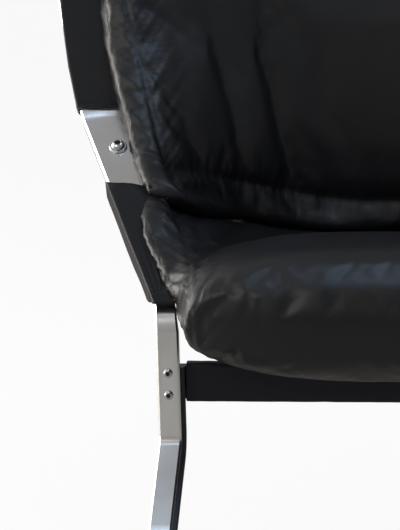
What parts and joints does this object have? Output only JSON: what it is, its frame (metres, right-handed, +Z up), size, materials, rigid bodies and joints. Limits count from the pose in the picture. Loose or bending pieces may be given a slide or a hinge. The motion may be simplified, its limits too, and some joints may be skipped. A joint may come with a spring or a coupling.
{
  "type": "cantilever lounge chair",
  "caption": "Cantilever lounge chair with bent flat-bar spring legs, leather-sleeved side rails and two thick black leather cushions.",
  "frame": {"origin": "middle of the footprint, on the floor", "axes": "+Z up, -Y towards the sitter's feet (front), +X to the right as seen from the front"},
  "size_m": [0.8054, 0.7012, 0.9816],
  "materials": {
    "spring_steel": "polished flat bar with fine scratches",
    "rail_steel": "polished plate with fine scratches",
    "leaf_paint": "satin black",
    "crossbar_paint": "satin black",
    "fastener_steel": "bright",
    "glide_rubber": "matt",
    "sleeve_leather": "semi-gloss black, fine grain",
    "sling_leather": "semi-gloss black, fine grain",
    "cushion_leather": "semi-gloss black, fine grain, soft wrinkles"
  },
  "bodies": {
    "root": {"back_cushion": "cushion_leather", "back_sleeve_left": "sleeve_leather", "back_sleeve_right": "sleeve_leather", "back_sling": "sling_leather", "base_spring_left": "spring_steel", "base_spring_right": "spring_steel", "crossbar_cover": "sleeve_leather", "crossbar_screw_left_1": "fastener_steel", "crossbar_screw_left_2": "fastener_steel", "crossbar_screw_right_1": "fastener_steel", "crossbar_screw_right_2": "fastener_steel", "floor_crossbar": "spring_steel", "floor_glide_back_left": "glide_rubber", "floor_glide_back_right": "glide_rubber", "floor_glide_front_left": "glide_rubber", "floor_glide_front_right": "glide_rubber", "floor_screw_left_1": "fastener_steel", "floor_screw_left_2": "fastener_steel", "floor_screw_right_1": "fastener_steel", "floor_screw_right_2": "fastener_steel", "front_crossbar": "crossbar_paint", "head_crossbar": "crossbar_paint", "head_screw_left_1": "fastener_steel", "head_screw_right_1": "fastener_steel", "knee_leaf_left": "leaf_paint", "knee_leaf_right": "leaf_paint", "plate_nut_left_1": "fastener_steel", "plate_nut_right_1": "fastener_steel", "plate_screw_left_1": "fastener_steel", "plate_screw_right_1": "fastener_steel", "plate_washer_left_1": "fastener_steel", "plate_washer_right_1": "fastener_steel", "rail_joint_screw_left_1": "fastener_steel", "rail_joint_screw_left_2": "fastener_steel", "rail_joint_screw_right_1": "fastener_steel", "rail_joint_screw_right_2": "fastener_steel", "seat_cushion": "cushion_leather", "seat_sleeve_left": "sleeve_leather", "seat_sleeve_right": "sleeve_leather", "seat_sling": "sling_leather", "side_rail_left": "rail_steel", "side_rail_right": "rail_steel"}
  },
  "joints": []
}
